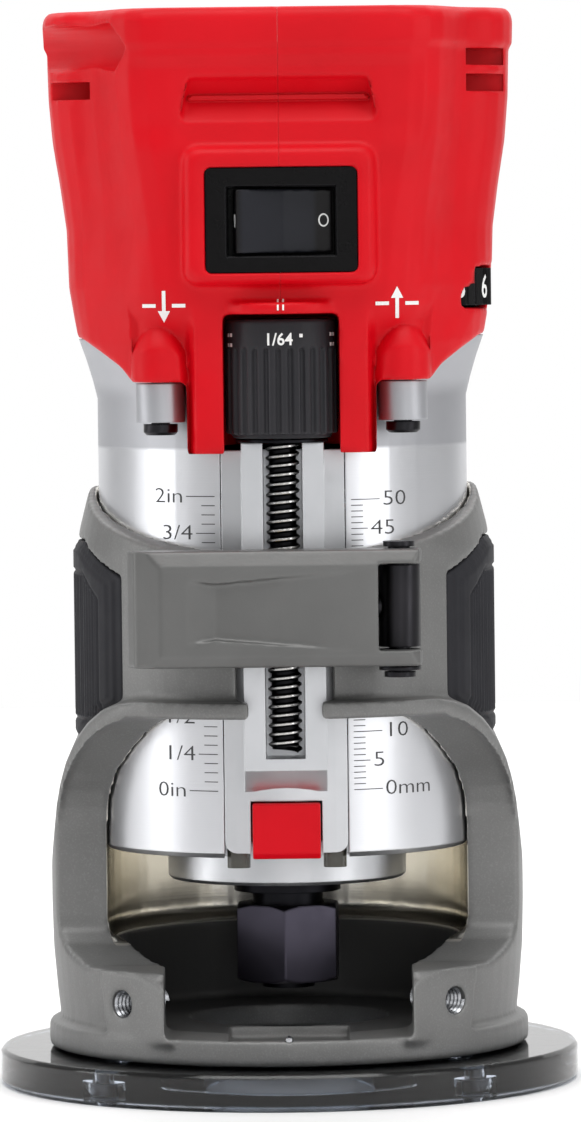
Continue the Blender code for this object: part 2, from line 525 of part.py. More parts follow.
def head_openings():
    """The dock on top, the switch, the finger recess, the speed dial, the vents and the boss holes."""
    recess = common(prism(((-60, 167.9), (-41.6, 167.9), (-38.0, 172.2), (-41.6, 175.6), (-60, 175.6)),
                          -20, 20, "X"),
                    prism(((-17.3, 166), (17.3, 166), (15.0, 177), (-15.0, 177)), -60, -30, "Y"))
    hook_axis = Vector((-0.615, 0.788, 0))
    hook_start = Vector((-28.6, -37.8, 181))
    hook_socket = join(rod(4.1, hook_start, hook_start + 30 * hook_axis, 24),
                       cone(4.1, 0.5, hook_start + 0.1 * hook_axis, hook_start - 3.6 * hook_axis))
    vents = [box(x, (-60, -21), z) for x, z in (
        ((32.4, 38.8), (177.7, 180.4)), ((32.4, 38.8), (173.2, 176.0)), ((-60, -32.4), (172.5, 175.3)))]
    terminal_hole = box((-13.3, 13.3), (-25.3, -13.7), (DOCK_FLOOR - 4, DOCK_FLOOR + 1))
    dial = turned(((0, DIAL_LOW - 0.4), (DIAL_R + 0.5, DIAL_LOW - 0.4), (DIAL_R + 0.5, DIAL_HIGH + 0.4),
                   (0, DIAL_HIGH + 0.4)), 48, (DIAL_X, DIAL_Y))
    boss_holes = [rod(1.9, (x, BOSS_Y, 115), (x, BOSS_Y, 131.5)) for x in (-BOSS_X, BOSS_X)]
    return (
        box((-30, 30), (-26, 70), (DOCK_FLOOR, 183.5)),
        box((-24, 24), (-26, 70), (183, 200)),
        box((SWITCH_X - 13.0, SWITCH_X + 13.0), (-60, -30), (142.3, 160.3)),
        recess, hook_socket, terminal_hole, dial, *vents, *boss_holes,
    )


def shell_screw_holes():
    """A pocket for each head in the left shell and a hole for each shank."""
    tools = []
    for y, z in SHELL_SCREWS:
        tools.append(rod(3.6, (-60, y, z), (-26, y, z)))
        tools.append(rod(1.9, (-30, y, z), (13, y, z), 16))
    return tools


def shell_screws():
    screws = []
    for number, (y, z) in enumerate(SHELL_SCREWS, 1):
        screw = rod(1.6, (-27, y, z), (12, y, z), 16)
        join(screw, rod(3.1, (-28.6, y, z), (-26.3, y, z)))
        cut(screw, rod(1.1, (-31, y, z), (-27.4, y, z), 6))
        screws.append(finish(screw, f"housing_screw_{number}", BLACK, 0.35, 1.0))
    return screws


def barrel_screws():
    screws = []
    for x, name in ((-BOSS_X, "barrel_screw_left"), (BOSS_X, "barrel_screw_right")):
        screw = turned(((0, 114.7), (2.4, 114.7), (2.95, 115.2), (2.95, 116.6), (1.6, 116.6), (1.6, 131),
                        (0, 131)), 20, (x, BOSS_Y))
        cut(screw, rod(1.2, (x, BOSS_Y, 113), (x, BOSS_Y, 115.9), 6))
        screws.append(finish(screw, name, BLACK, 0.35, 1.0))
    return screws


def switch():
    """Frame, module and rocker, which rests with its right side pressed."""
    bezel = box((SWITCH_X - 12.9, SWITCH_X + 12.9), (-42.4, -39.6), (142.4, 160.2))
    cut(bezel, box((SWITCH_X - 9.4, SWITCH_X + 9.4), (-60, -30), (145.1, 157.1)))
    finish(bezel, "switch_bezel", BLACK, 0.35)
    module = box((SWITCH_X - 12.3, SWITCH_X + 12.3), (-39.3, -15), (143.3, 159.3))
    cut(module, box((SWITCH_X - 9.2, SWITCH_X + 9.2), (-60, -33.8), (145.3, 156.9)))
    finish(module, "switch_module", BLACK, 0.35)
    plan = ((-8.4, -2.6), (0, -1.6), (8.4, -2.6), (8.2, 1.0), (3, 3.6), (-3, 3.6), (-8.2, 1.0))
    rocker = prism(plan, 145.7, 156.5)
    rocker.data.transform(Matrix.Rotation(math.radians(12), 4, "Z"))
    rocker.data.transform(Matrix.Translation(Vector((SWITCH_X, SWITCH_Y, 0)) * MM))
    finish(rocker, "switch_rocker", BLACK, 0.3)
    return [bezel, module], rocker


def speed_control():
    radii = [DIAL_R - 0.5 * (i % 2) for i in range(DIAL_TEETH * 2)]
    turns = [math.pi * i / DIAL_TEETH for i in range(DIAL_TEETH * 2)]
    wheel_plan = [(DIAL_X + r * math.cos(t), DIAL_Y + r * math.sin(t)) for r, t in zip(radii, turns)]
    wheel = prism(wheel_plan, DIAL_LOW, DIAL_HIGH)
    cut(wheel, rod(1.6, (DIAL_X, DIAL_Y, 130), (DIAL_X, DIAL_Y, 150), 16))
    body = box((DIAL_X - 4, DIAL_X + 4), (DIAL_Y - 4, DIAL_Y + 4), (143.4, 150))
    join(body, rod(1.3, (DIAL_X, DIAL_Y, 137), (DIAL_X, DIAL_Y, 144), 16))
    finish(wheel, "speed_dial", BLACK, 0.5)
    finish(body, "speed_potentiometer", (0.05, 0.10, 0.25), 0.5)
    return wheel, body


def depth_screw():
    """Ribbed knob with a smooth band at its top, on the lead screw."""
    rib = ((KNOB_R, 0.02), (KNOB_R, 0.48), (KNOB_R - 0.7, 0.62), (KNOB_R - 0.7, 0.88))
    turns = [(r, math.tau * (i + share) / KNOB_RIBS) for i in range(KNOB_RIBS) for r, share in rib]
    ribs = [(r * math.cos(t), SCREW_Y + r * math.sin(t)) for r, t in turns]
    knob = prism(ribs, KNOB_LOW + 0.8, KNOB_BAND + 0.5)
    band = turned(((0, KNOB_BAND), (KNOB_R, KNOB_BAND), (KNOB_R, KNOB_TOP - 0.5), (KNOB_R - 0.5, KNOB_TOP),
                   (0, KNOB_TOP)), 48, (0, SCREW_Y))
    foot = turned(((0, KNOB_LOW), (KNOB_R - 1.2, KNOB_LOW), (KNOB_R - 0.75, KNOB_LOW + 1.2),
                   (0, KNOB_LOW + 1.2)), 48, (0, SCREW_Y))
    join(knob, band, foot)
    cut(knob, rod(SCREW_R + GAP, (0, SCREW_Y, 100), (0, SCREW_Y, 128)))
    screw = rod(SCREW_R, (0, SCREW_Y, SCREW_LOW), (0, SCREW_Y, 127.5))
    bush = turned(((SCREW_R + GAP, 113.3), (7.9, 113.3), (7.9, 113.8), (SCREW_R + GAP, 113.8)), 32,
                  (0, SCREW_Y))
    finish(knob, "depth_knob", BLACK, 0.55)
    finish(screw, "lead_screw", (0.05, 0.05, 0.055), 0.35, 1.0)
    finish(bush, "screw_bush", BLACK, 0.5)
    return knob, screw, bush


def spindle_lock():
    side_view = ((BUTTON_BACK, BUTTON_LOW), (BUTTON_FRONT + 1, BUTTON_LOW), (BUTTON_FRONT, BUTTON_LOW + 1),
                 (BUTTON_FRONT, BUTTON_HIGH), (BUTTON_BACK, BUTTON_HIGH))
    button = prism(side_view, -BUTTON_HALF, BUTTON_HALF, "X")
    pin = rod(PIN_R, (0, BUTTON_BACK + GAP, PIN_Z), (0, PIN_TIP, PIN_Z))
    finish(button, "lock_button", RED, 0.4)
    finish(pin, "lock_pin", STEEL, 0.3, 1.0)
    return button, pin


def lock_spring():
    """Coil round the lock pin, against the bearing hub."""
    coil = bpy.data.curves.new("lock_spring", "CURVE")
    coil.dimensions = "3D"
    coil.bevel_depth = 0.25 * MM
    coil.bevel_resolution = 1
    coil.use_fill_caps = True
    turns, per_turn, radius = 6, 10, 2.9
    start, end = -25.0, -14.8
    line = coil.splines.new("POLY")
    line.points.add(turns * per_turn)
    for i, point in enumerate(line.points):
        t = math.tau * i / per_turn
        y = start + (end - start) * i / (turns * per_turn)
        point.co = (radius * math.cos(t) * MM, y * MM, (PIN_Z + radius * math.sin(t)) * MM, 1.0)
    spring = bpy.data.objects.new("lock_spring", coil)
    bpy.context.scene.collection.objects.link(spring)
    coil.materials.append(material("lock_spring", STEEL, 0.3, 1.0))
    return spring


def lamps():
    """Two light pipes under the front of the barrel, and their circuit board."""
    lenses = []
    for side, name in ((-1, "led_lens_left"), (1, "led_lens_right")):
        plan = (arc((side * 8.3 + 0.6, -28), (1.4, 1.7), -90, 90, 6)
                + arc((side * 8.3 - 0.6, -28), (1.4, 1.7), 90, 270, 6))
        lenses.append(finish(prism(plan, 39.8, 51.7), name, (0.75, 0.75, 0.72), 0.1, 0.0, 0.8))
    board = box((-10.4, 10.4), (-29.7, -26.3), (52.0, 53.2))
    return [*lenses, finish(board, "led_board", (0.02, 0.16, 0.07), 0.5)]


def electronics():
    board = box((-22, 22), (-17, 20), (124, 125.6))
    parts = [rod(4.5, (x, 12, 125), (x, 12, 139)) for x in (-12, 0, 12)]
    join(board, *parts, box((-16, 6), (-12, 0), (125, 131)))
    block = box((-13, 13), (-25, -14), (DOCK_FLOOR - 2.4, 182))
    join(block, box((-15, 15), (-21, -12), (DOCK_FLOOR - 5.1, DOCK_FLOOR - 2.9)),
         box((-12, 12), (-20, -15), (DOCK_FLOOR - 3.5, DOCK_FLOOR)),
         *[box((x - 0.5, x + 0.5), (-15, -3), (178, 181.5)) for x in (-9, -3, 3, 9)])
    finish(board, "control_board", (0.02, 0.16, 0.07), 0.5)
    finish(block, "terminal_block", BLACK, 0.5)
    return board, block


def stator():
    core = turned(((18, 64), (25.4, 64), (25.4, 98), (18, 98)), 32)
    windings = turned(((14, 61.5), (17.7, 61.5), (17.7, 101), (14, 101)), 32)
    finish(core, "stator_core", (0.25, 0.25, 0.26), 0.5, 1.0)
    finish(windings, "stator_windings", (0.62, 0.26, 0.10), 0.4, 1.0)
    return core, windings


def bearings():
    """Two ball bearings, the lower in the barrel's hub and the upper in its own carrier."""
    lower = turned(((4.1, 52.3), (10.9, 52.3), (10.9, 59.3), (4.1, 59.3)), 32)
    upper = turned(((3.1, 113), (9.4, 113), (9.4, 119), (3.1, 119)), 32)
    carrier = turned(((9.6, 112.6), (28.6, 112.6), (28.6, 115), (12, 115), (12, 119.2), (9.6, 119.2)), 32)
    windows = [rod(4.5, (20 * math.cos(t), 20 * math.sin(t), 110), (20 * math.cos(t), 20 * math.sin(t), 118))
               for t in (math.radians(a) for a in (-10, 30, 70, 110, 150, 190))]
    cut(carrier, rod(POCKET_WALL_R + 0.6, (0, SCREW_Y, 100), (0, SCREW_Y, 125), 48), *windows)
    finish(lower, "lower_bearing", STEEL, 0.25, 1.0)
    finish(upper, "upper_bearing", STEEL, 0.25, 1.0)
    finish(carrier, "bearing_carrier", ALUMINIUM, 0.4, 1.0)
    return lower, upper, carrier


def spindle():
    """Shaft with the collet's taper and the lock's slots, rotor, fan and dust slinger."""
    shaft = turned(((0, 40), (4.9, 38.6), (4.9, 19.6), (6.2, 19.6), (6.2, 42.2), (7.5, 42.2), (7.5, 50.4),
                    (4.9, 50.4), (4.9, 52), (3.9, 52), (3.9, 111.5), (2.9, 111.5), (2.9, 122), (0, 122)), 32)
    slots = [box((-2.4, 2.4), (-9, -5), (45.0, 52.0)) for _ in range(4)]
    for quarter, slot in enumerate(slots):
        slot.data.transform(Matrix.Rotation(quarter * math.pi / 2, 4, "Z"))
    cut(shaft, *slots)
    rotor = turned(((4.1, 63), (13.2, 63), (13.2, 99), (4.1, 99)), 32)
    slinger = turned(((6.4, 33.4), (9.4, 33.4), (9.4, 35.5), (6.4, 35.5)), 32)
    fan = turned(((4.1, 103), (22, 103), (22, 104.2), (8, 104.2), (8, 109), (4.1, 109)), 32)
    blades = [box((7.5, 21.5), (-0.5, 0.5), (103.8, 108.6)) for _ in range(11)]
    for number, blade in enumerate(blades):
        blade.data.transform(Matrix.Rotation(number * math.tau / 11, 4, "Z"))
    join(fan, *blades)
    finish(shaft, "spindle_shaft", (0.06, 0.06, 0.065), 0.35, 1.0)
    finish(rotor, "rotor_core", (0.25, 0.25, 0.26), 0.5, 1.0)
    finish(slinger, "dust_slinger", BLACK, 0.6)
    finish(fan, "cooling_fan", BLACK, 0.5)
    return shaft, rotor, slinger, fan


def collet_and_nut():
    collet = turned(((3.2, 16.3), (4.6, 16.3), (4.6, 37), (3.2, 37)), 32)
    slits = [box((-0.4, 0.4), (0, 9), (22, 45)) for _ in range(4)]
    for quarter, slit in enumerate(slits):
        slit.data.transform(Matrix.Rotation((quarter + 0.5) * math.pi / 2, 4, "Z"))
    cut(collet, *slits)
    hexagon = arc((0, 0), (10.08, 10.08), -93, 207, 5)
    nut = prism(hexagon, 17.5, 31.1)
    common(nut, turned(((0, 17.5), (8.9, 17.5), (10.2, 18.3), (10.2, 30.3), (8.9, 31.1), (0, 31.1)), 24))
    cut(nut, turned(((0, 10), (4.9, 10), (4.9, 19.2), (6.5, 19.2), (6.5, 40), (0, 40)), 24))
    finish(collet, "collet", STEEL, 0.3, 1.0)
    finish(nut, "collet_nut", (0.05, 0.045, 0.06), 0.35, 1.0)
    return collet, nut


def motor_unit():
    """The sliding motor and everything that turns or slides on it."""
    bezel_and_module, rocker = switch()
    wheel, potentiometer = speed_control()
    knob, screw, bush = depth_screw()
    button, pin = spindle_lock()
    collet, nut = collet_and_nut()
    fixed = [motor_barrel(), front_track(), end_cap(), *shells(), *shell_screws(), *barrel_screws(),
             *bezel_and_module, potentiometer, bush, lock_spring(), *lamps(), *electronics(), *stator(),
             *bearings()]
    slide = pivot("depth_slide_axis", (0, 0, 80), *fixed)
    pivot("depth_screw_axis", (0, SCREW_Y, 120), knob, screw, parent=slide)
    pivot("switch_rocker_axis", (SWITCH_X, SWITCH_Y, 151.1), rocker, parent=slide)
    pivot("speed_dial_axis", (DIAL_X, DIAL_Y, 139.5), wheel, parent=slide)
    pivot("lock_button_axis", (0, -31, PIN_Z), button, pin, parent=slide)
    turning = pivot("spindle_axis", (0, 0, 60), *spindle(), parent=slide)
    closing = pivot("collet_axis", (0, 0, 30), collet, parent=turning)
    pivot("collet_nut_axis", (0, 0, 24), nut, parent=closing)


def main():
    for old in list(bpy.data.objects):
        bpy.data.objects.remove(old, do_unlink=True)
    base_casting()
    sub_base()
    foot_screws()
    grips()
    clamp_hardware()
    clamp_lever()
    half_nut()
    motor_unit()


main()
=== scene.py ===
import math

import bmesh
import bpy
from mathutils import Matrix, Vector
from mathutils.bvhtree import BVHTree


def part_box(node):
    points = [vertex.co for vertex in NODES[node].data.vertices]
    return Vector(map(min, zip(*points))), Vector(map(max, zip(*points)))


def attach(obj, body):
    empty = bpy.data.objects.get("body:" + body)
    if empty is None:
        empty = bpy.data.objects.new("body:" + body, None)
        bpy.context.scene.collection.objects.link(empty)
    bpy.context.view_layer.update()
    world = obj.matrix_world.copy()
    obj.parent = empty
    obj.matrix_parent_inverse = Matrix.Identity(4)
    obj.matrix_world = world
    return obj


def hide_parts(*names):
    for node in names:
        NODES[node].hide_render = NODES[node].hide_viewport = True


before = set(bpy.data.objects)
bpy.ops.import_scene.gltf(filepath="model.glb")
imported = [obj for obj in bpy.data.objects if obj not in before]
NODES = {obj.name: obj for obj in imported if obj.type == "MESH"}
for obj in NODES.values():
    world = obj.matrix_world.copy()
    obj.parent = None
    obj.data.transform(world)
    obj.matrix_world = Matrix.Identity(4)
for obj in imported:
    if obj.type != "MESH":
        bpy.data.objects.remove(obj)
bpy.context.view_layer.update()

MM = 0.001

SCREW_AXIS_Y = -31.5 * MM          # axis of the depth screw and its knob
DIAL_CENTRE = (23.6 * MM, -16.2 * MM)
KNOB_RADIUS = 9.6 * MM
DIAL_RADIUS = 13.0 * MM
BARREL_RADIUS = 32.45 * MM
GUIDE_TURN = 43.5                  # degrees from straight ahead to each guide boss
GUIDE_HEIGHT = 16.6                # millimetres


# ---------------------------------------------------------------- colours and node helpers

def srgb(red, green, blue):
    """A display colour from 0 to 255, as the linear colour that a shader takes."""
    def linear(value):
        value /= 255
        return value / 12.92 if value <= 0.04045 else ((value + 0.055) / 1.055) ** 2.4
    return (linear(red), linear(green), linear(blue), 1.0)


class Nodes:
    """Makes and links the nodes of one material."""

    def __init__(self, name):
        self.material = bpy.data.materials.new(name)
        self.material.use_nodes = True
        self.tree = self.material.node_tree
        self.shader = self.tree.nodes["Principled BSDF"]
        self.place = self.add("ShaderNodeTexCoord").outputs["Object"]

    def add(self, kind, inputs=(), **settings):
        node = self.tree.nodes.new(kind)
        for key, value in settings.items():
            setattr(node, key, value)
        for key, value in dict(inputs).items():
            if isinstance(value, bpy.types.NodeSocket):
                self.tree.links.new(value, node.inputs[key])
            else:
                node.inputs[key].default_value = value
        return node

    def set(self, **inputs):
        for key, value in inputs.items():
            socket = self.shader.inputs[key.replace("_", " ")]
            if isinstance(value, bpy.types.NodeSocket):
                self.tree.links.new(value, socket)
            else:
                socket.default_value = value

    def stretched(self, x, y, z):
        """Object coordinates multiplied by x, y and z."""
        return self.add("ShaderNodeMapping", {"Vector": self.place, "Scale": (x, y, z)}).outputs["Vector"]

    def noise(self, scale, detail=4.0, vector=None, roughness=0.55):
        return self.add("ShaderNodeTexNoise", {
            "Vector": vector or self.place, "Scale": scale, "Detail": detail, "Roughness": roughness,
        }).outputs["Fac"]

    def ranged(self, value, low, high, to_low, to_high):
        return self.add("ShaderNodeMapRange", {
            "Value": value, "From Min": low, "From Max": high, "To Min": to_low, "To Max": to_high,
        }).outputs["Result"]

    def mixed(self, share, first, second):
        node = self.add("ShaderNodeMix", {"Factor": share}, data_type="RGBA")
        for index, colour in ((6, first), (7, second)):
            if isinstance(colour, bpy.types.NodeSocket):
                self.tree.links.new(colour, node.inputs[index])
            else:
                node.inputs[index].default_value = colour
        return node.outputs[2]

    def maths(self, operation, first, second=0.0):
        return self.add("ShaderNodeMath", {0: first, 1: second}, operation=operation).outputs[0]

    def height(self):
        return self.add("ShaderNodeSeparateXYZ", {"Vector": self.place}).outputs["Z"]

    def rounding(self, radius):
        """Normals that look as if every edge had this radius."""
        return self.add("ShaderNodeBevel", {"Radius": radius}, samples=4).outputs["Normal"]

    def bump(self, height, distance, normal, strength=1.0):
        return self.add("ShaderNodeBump", {
            "Height": height, "Distance": distance, "Strength": strength, "Normal": normal,
        }).outputs["Normal"]

    def edges(self, rounded):
        """0 on a flat surface, towards 1 where the rounded normal turns at an edge."""
        flat = self.add("ShaderNodeNewGeometry").outputs["Normal"]
        same = self.add("ShaderNodeVectorMath", {0: rounded, 1: flat}, operation="DOT_PRODUCT")
        return self.ranged(same.outputs["Value"], 1.0, 0.86, 0.0, 1.0)


def moulded(name, colour, shade, roughness=0.42, radius=0.0005, grain=0.00002, edge_highlight=None, edge_highlight_share=0.35,
            grain_scale=2600.0):
    """Moulded plastic or painted metal: a fine skin, slow colour drift, rounded edges, and a painted
    highlight that lightens the edges.
    """
    made = Nodes(name)
    rounded = made.rounding(radius)
    drift = made.ranged(made.noise(55.0, 3.0), 0.35, 0.7, 0.0, 1.0)
    base = made.mixed(drift, colour, shade)
    # Painted highlight: the edges are mixed towards a lighter colour where the rounded normal turns.
    if edge_highlight:
        base = made.mixed(made.maths("MULTIPLY", made.edges(rounded), edge_highlight_share), base, edge_highlight)
    skin = made.noise(grain_scale, 2.0)
    made.set(Base_Color=base, Roughness=made.ranged(made.noise(240.0, 4.0), 0.3, 0.7, roughness - 0.05,
                                                    roughness + 0.05),
             Normal=made.bump(skin, grain, rounded))
    return made


def metal(name, colour, shade, roughness=0.3, radius=0.0003, grain=0.000006, grain_scale=1800.0,
          metallic=1.0):
    made = moulded(name, colour, shade, roughness, radius, grain, grain_scale=grain_scale)
    made.set(Metallic=metallic)
    return made.material


# ---------------------------------------------------------------- materials

def red_shell():
    # The lighter red srgb(238, 50, 54) at share 0.4 is a painted highlight along the edges.
    made = moulded("red_shell", srgb(206, 1, 20), srgb(196, 1, 17), 0.46, 0.0004, 0.000016,
                   srgb(238, 50, 54), 0.4)
    made.set(Specular_IOR_Level=0.19)
    return made.material


def painted_casting():
    """Grey paint outside with a painted highlight on its edges, bare machined metal in the bore, and below it
    a cavity painted dark grey, partly for the raw casting and partly as painted shade.
    """
    made = Nodes("painted_casting")
    rounded = made.rounding(0.0005)
    at = made.add("ShaderNodeSeparateXYZ", {"Vector": made.place}).outputs
    radius = made.maths("SQRT", made.maths("ADD", made.maths("MULTIPLY", at["X"], at["X"]),
                                           made.maths("MULTIPLY", at["Y"], at["Y"])))
    drift = made.ranged(made.noise(60.0, 3.0), 0.35, 0.7, 0.0, 1.0)
    paint = made.mixed(drift, srgb(117, 117, 116), srgb(108, 108, 107))
    paint = made.mixed(made.ranged(made.noise(3200.0, 2.0), 0.5, 0.75, 0.0, 0.35), paint, srgb(142, 142, 141))
    # Painted highlight: the edges of the grey paint are mixed towards a lighter grey.
    paint = made.mixed(made.maths("MULTIPLY", made.edges(rounded), 0.45), paint, srgb(178, 178, 176))
    in_bore = made.ranged(radius, 0.03300, 0.03315, 1.0, 0.0)
    above = made.ranged(at["Z"], 0.0250, 0.0256, 0.0, 1.0)
    bare = made.maths("MULTIPLY", in_bore, above)
    # Painted shade: the cavity under the shelf is painted dark grey, partly for the raw casting's darker
    # skin.
    in_cavity = made.ranged(radius, 0.03060, 0.03080, 1.0, 0.0)
    over_floor = made.ranged(at["Z"], 0.0108, 0.0112, 0.0, 1.0)
    dark = made.maths("MULTIPLY", made.maths("MULTIPLY", in_cavity, over_floor),
                      made.maths("SUBTRACT", 1.0, above))
    colour = made.mixed(dark, paint, srgb(82, 82, 82))
    colour = made.mixed(bare, colour, srgb(236, 232, 222))
    skin = made.noise(2600.0, 3.0)
    lines = made.noise(1.0, 2.0, made.stretched(30.0, 30.0, 3800.0))
    relief = made.add("ShaderNodeMix", {0: bare, 2: skin, 3: made.maths("MULTIPLY", lines, 0.15)}).outputs[0]
    made.set(Base_Color=colour, Metallic=made.ranged(bare, 0.0, 1.0, 0.45, 1.0),
             Roughness=made.ranged(bare, 0.0, 1.0, 0.46, 0.2), Normal=made.bump(relief, 0.00003, rounded))
    return made.material


def turned_aluminium():
    """Cast skin above, and a turned surface with fine rings below the height where the collar grips."""
    made = Nodes("turned_aluminium")
    rounded = made.rounding(0.0004)
    rings = made.noise(1.0, 3.0, made.stretched(9.0, 9.0, 5200.0))
    skin = made.noise(1500.0, 3.0)
    cast = made.ranged(made.height(), 0.1118, 0.1124, 0.0, 1.0)
    relief = made.add("ShaderNodeMix", {0: cast, 2: rings, 3: skin}).outputs[0]
    drift = made.noise(40.0, 2.0)
    bright = made.mixed(drift, srgb(216, 217, 220), srgb(206, 207, 211))
    dull = made.mixed(drift, srgb(182, 183, 187), srgb(170, 171, 175))
    made.set(Base_Color=made.mixed(cast, bright, dull), Metallic=1.0,
             Roughness=made.ranged(cast, 0.0, 1.0, 0.33, 0.5),
             Normal=made.bump(relief, 0.000012, rounded))
    return made.material


def rubber():
    # The lighter grey srgb(70, 70, 75) is a painted highlight along the edges.
    made = moulded("grip_rubber", srgb(31, 31, 36), srgb(25, 25, 30), 0.66, 0.0004, 0.00003,
                   srgb(70, 70, 75), 0.35, 1900.0)
    made.set(Specular_IOR_Level=0.3)
    return made.material


def dark_plastic(name, colour, shade, roughness, edge_highlight):
    # The last colour is a painted highlight that lightens the edges.
    made = moulded(name, colour, shade, roughness, 0.0004, 0.00002, edge_highlight, 0.35)
    made.set(Specular_IOR_Level=0.14)
    return made.material


def rocker_plastic():
    """The rocker's two ends are painted darker than its middle pad, as painted shade on its sloping side
    walls.
    """
    made = Nodes("rocker_plastic")
    across = made.add("ShaderNodeSeparateXYZ", {"Vector": made.place}).outputs["X"]
    away = made.maths("ABSOLUTE", made.maths("ADD", across, 0.0003))
    # Painted shade: beyond 5.9 mm from the middle the rocker turns to a near-black colour.
    end = made.ranged(away, 0.0059, 0.0068, 0.0, 1.0)
    rounded = made.rounding(0.0005)
    pad = made.mixed(made.noise(300.0, 3.0), srgb(30, 31, 37), srgb(26, 27, 33))
    made.set(Base_Color=made.mixed(end, pad, srgb(13, 11, 13)), Roughness=0.36, Specular_IOR_Level=0.22,
             Normal=made.bump(made.noise(2600.0, 2.0), 0.00001, rounded))
    return made.material


def button_red():
    made = moulded("button_red", srgb(206, 1, 22), srgb(196, 1, 19), 0.4, 0.0004, 0.000008)
    made.set(Specular_IOR_Level=0.15)
    return made.material


def screw_thread():
    """Black oxide, with the crests, which lie furthest from the screw's own axis, painted bright as a painted
    highlight.
    """
    made = Nodes("screw_thread")
    at = made.add("ShaderNodeSeparateXYZ", {"Vector": made.place}).outputs
    behind = made.maths("SUBTRACT", at["Y"], SCREW_AXIS_Y)
    radius = made.maths("SQRT", made.maths("ADD", made.maths("MULTIPLY", at["X"], at["X"]),
                                           made.maths("MULTIPLY", behind, behind)))
    # Painted highlight: the thread's crests are mixed towards a bright steel colour.
    crest_highlight = made.ranged(radius, 0.00268, 0.00286, 0.0, 1.0)
    oxide = made.mixed(made.noise(900.0, 2.0), srgb(34, 34, 36), srgb(24, 24, 26))
    made.set(Base_Color=made.mixed(crest_highlight, oxide, srgb(214, 213, 210)), Metallic=1.0,
             Roughness=made.ranged(crest_highlight, 0.0, 1.0, 0.38, 0.26), Normal=made.rounding(0.0001))
    return made.material


def clear_plate():
    """Smoky clear polycarbonate with a faint machined edge."""
    made = Nodes("clear_plate")
    haze = made.noise(300.0, 3.0)
    made.set(Base_Color=made.mixed(haze, srgb(206, 215, 228), srgb(196, 206, 220)), IOR=1.5,
             Transmission_Weight=1.0, Roughness=made.ranged(haze, 0.3, 0.7, 0.03, 0.07),
             Normal=made.rounding(0.0006))
    return made.material


def fibre_board():
    made = moulded("circuit_board", srgb(24, 92, 52), srgb(18, 76, 44), 0.35, 0.0002, 0.00001)
    return made.material


def copper_wire():
    """Enamelled wire: close turns show as fine ridges."""
    made = Nodes("copper_wire")
    turns = made.add("ShaderNodeTexWave", {"Vector": made.stretched(1.0, 1.0, 1.0), "Scale": 700.0,
                                           "Distortion": 0.4}).outputs["Fac"]
    made.set(Base_Color=made.mixed(turns, srgb(120, 58, 26), srgb(196, 108, 52)), Metallic=0.9,
             Roughness=0.34, Normal=made.bump(turns, 0.0001, made.rounding(0.0003)))
    return made.material


def laminations():
    """Stacked thin sheets of electrical steel."""
    made = Nodes("laminated_steel")
    sheets = made.add("ShaderNodeTexWave", {"Vector": made.place, "Scale": 320.0},
                      bands_direction="Z").outputs["Fac"]
    made.set(Base_Color=made.mixed(sheets, srgb(88, 90, 94), srgb(140, 142, 146)), Metallic=0.9,
             Roughness=made.ranged(sheets, 0.0, 1.0, 0.5, 0.34),
             Normal=made.bump(sheets, 0.00003, made.rounding(0.0002)))
    return made.material


def lamp_lens():
    made = Nodes("lens")
    haze = made.noise(900.0, 2.0)
    made.set(Base_Color=made.mixed(haze, srgb(86, 84, 76), srgb(70, 69, 63)),
             Roughness=made.ranged(haze, 0.3, 0.7, 0.12, 0.22), Transmission_Weight=0.3, IOR=1.5,
             Normal=made.rounding(0.0003))
    return made.material


def marking(name, colour, shade):
    """Ink or an engraved and filled mark."""
    made = Nodes(name)
    made.set(Base_Color=made.mixed(made.noise(1500.0, 2.0), colour, shade), Roughness=0.55)
    return made.material


MATERIALS = {
    "red": red_shell(),
    "casting": painted_casting(),
    "lever": metal("lever_paint", srgb(104, 104, 103), srgb(97, 97, 96), 0.42, 0.0004, 0.00002, 1700.0, 0.5),
    "barrel": turned_aluminium(),
    "aluminium": metal("machined_aluminium", srgb(206, 207, 210), srgb(194, 196, 199), 0.36, 0.0003),
    "rubber": rubber(),
    "clear": clear_plate(),
    # The last colour of black and knob is a painted highlight along their edges.
    "black": dark_plastic("black_plastic", srgb(5, 4, 5), srgb(3, 2, 3), 0.3, srgb(44, 44, 49)),
    "rocker": rocker_plastic(),
    "knob": dark_plastic("knob_plastic", srgb(46, 45, 48), srgb(38, 38, 41), 0.45, srgb(110, 110, 114)),
    "thread": screw_thread(),
    "oxide": metal("black_oxide", srgb(76, 73, 84), srgb(64, 62, 72), 0.36, 0.0006),
    "neck": metal("dark_steel", srgb(34, 34, 37), srgb(26, 26, 29), 0.38, 0.0003),
    "screw": metal("black_screw", srgb(52, 51, 54), srgb(38, 38, 40), 0.34, 0.0003),
    "steel": metal("steel", srgb(188, 190, 193), srgb(165, 167, 171), 0.26),
    "brass": metal("brass", srgb(206, 168, 92), srgb(188, 148, 76), 0.3),
    "laminated": laminations(),
    "button": button_red(),
    "board": fibre_board(),
    "blue": moulded("blue_plastic", srgb(34, 74, 142), srgb(28, 62, 124), 0.4).material,
    "copper": copper_wire(),
    "lens": lamp_lens(),
    "white_ink": marking("white_ink", srgb(238, 238, 236), srgb(226, 226, 224)),
    "dark_ink": marking("dark_ink", srgb(62, 62, 64), srgb(52, 52, 54)),
}

